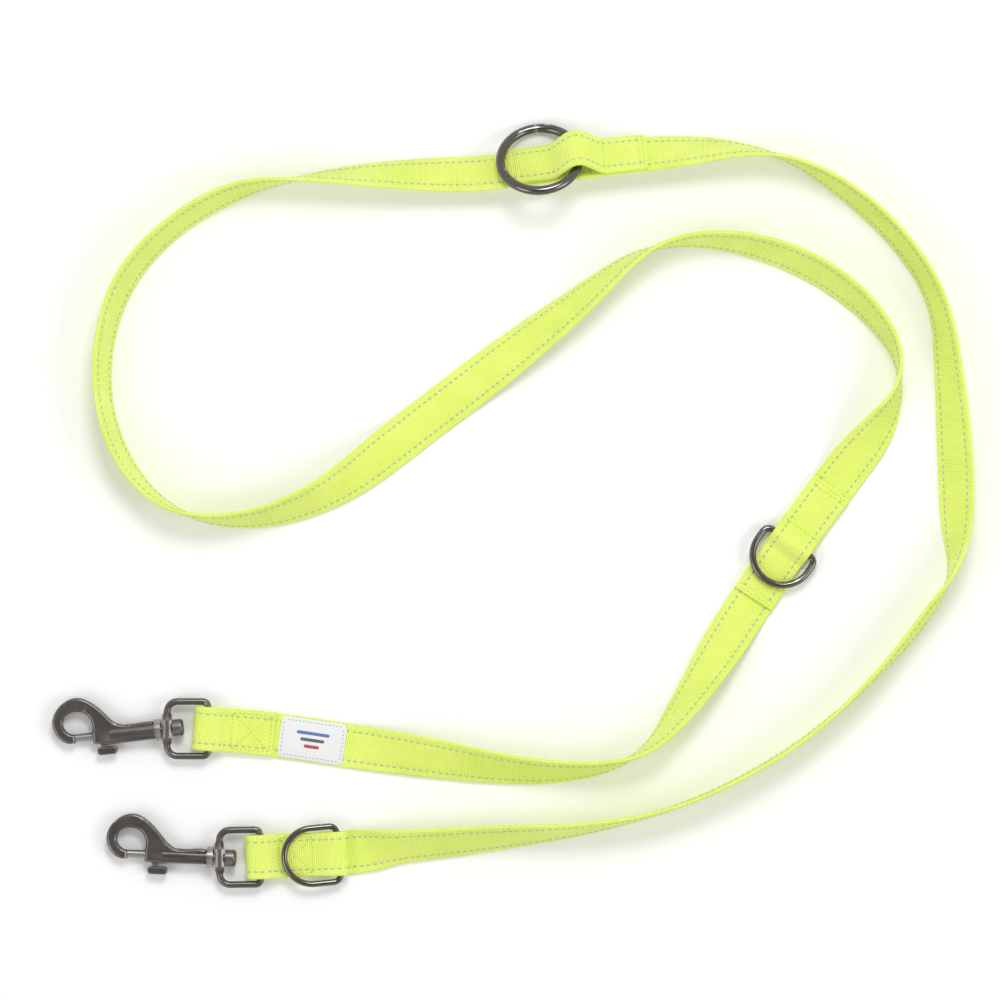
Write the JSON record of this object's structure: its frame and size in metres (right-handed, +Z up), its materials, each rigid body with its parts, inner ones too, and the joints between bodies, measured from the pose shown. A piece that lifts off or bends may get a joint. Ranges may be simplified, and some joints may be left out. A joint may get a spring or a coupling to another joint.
{
  "type": "training leash",
  "caption": "Long flat webbing dog leash with a swivel snap hook at each end, sewn-in D-rings and a round ring, laid out in loose curves.",
  "frame": {"origin": "middle of the leash's hardware and end loops, without the long strap, on the surface it lies on", "axes": "+Z up from the surface, +X from the two snap hooks towards the far bend of the strap, +Y towards the round ring"},
  "size_m": [0.4189, 0.3475, 0.0254],
  "materials": {
    "webbing": "ribbed polyester webbing, fluorescent yellow",
    "label": "white printed satin label with a dashed border",
    "hardware": "satin gunmetal plated steel wire",
    "hook_casting": "satin gunmetal plated zinc casting",
    "spring_steel": "bright spring wire"
  },
  "bodies": {
    "strap": {"webbing": "webbing", "webbing_end_a": "webbing", "webbing_end_b": "webbing", "label": "label", "d_ring_patch": "webbing", "o_ring_patch": "webbing"},
    "mid_ring": {"d_ring_mid": "hardware"},
    "end_ring": {"d_ring_end": "hardware"},
    "o_ring_link": {"o_ring": "hardware"},
    "eye_a": {"swivel_eye_a": "hook_casting"},
    "hook_a": {"hook_body_a": "hook_casting", "swivel_post_a": "hardware", "plunger_spring_a": "spring_steel"},
    "gate_a": {"plunger_a": "hardware", "thumb_lever_a": "hook_casting"},
    "eye_b": {"swivel_eye_b": "hook_casting"},
    "hook_b": {"hook_body_b": "hook_casting", "swivel_post_b": "hardware", "plunger_spring_b": "spring_steel"},
    "gate_b": {"plunger_b": "hardware", "thumb_lever_b": "hook_casting"}
  },
  "joints": [
    {"name": "eye_a_pivot", "type": "hinge", "parent": "strap", "child": "eye_a", "pos_m": [-0.1099, -0.1012, 0.005], "axis": [0, 1, 0], "range_deg": [-60, 80]},
    {"name": "snap_a_swivel", "type": "hinge", "parent": "eye_a", "child": "hook_a", "pos_m": [-0.1285, -0.1012, 0.005], "axis": [0.9939, 0.1045, 0.0366], "continuous": true},
    {"name": "gate_a_slide", "type": "slide", "parent": "hook_a", "child": "gate_a", "axis": [0.9939, 0.1045, 0.0366], "range_m": [0, 0.0083], "stiffness_N_per_m": 300, "springref_m": -0.008, "deforming": ["plunger_spring_a"]},
    {"name": "eye_b_pivot", "type": "hinge", "parent": "strap", "child": "eye_b", "pos_m": [-0.0861, -0.1594, 0.005], "axis": [-0.0175, 0.9998, 0], "range_deg": [-60, 80]},
    {"name": "snap_b_swivel", "type": "hinge", "parent": "eye_b", "child": "hook_b", "pos_m": [-0.1047, -0.15972, 0.005], "axis": [0.9984, -0.0436, 0.0366], "continuous": true},
    {"name": "gate_b_slide", "type": "slide", "parent": "hook_b", "child": "gate_b", "axis": [0.9984, -0.0436, 0.0366], "range_m": [0, 0.0083], "stiffness_N_per_m": 300, "springref_m": -0.008, "deforming": ["plunger_spring_b"]},
    {"name": "mid_ring_flip", "type": "hinge", "parent": "strap", "child": "mid_ring", "pos_m": [0.1552, -0.0168, 0.00368], "axis": [-0.8122, 0.5834, 0], "range_deg": [0, 168]},
    {"name": "end_ring_flip", "type": "hinge", "parent": "strap", "child": "end_ring", "pos_m": [-0.05053, -0.15785, 0.0053], "axis": [-0.0958, 0.9954, 0], "range_deg": [0, 120]},
    {"name": "o_ring_flip", "type": "hinge", "parent": "strap", "child": "o_ring_link", "pos_m": [0.05706, 0.15908, 0.01287], "axis": [-0.0964, 0.8084, -0.5807], "range_deg": [0, 120]}
  ]
}
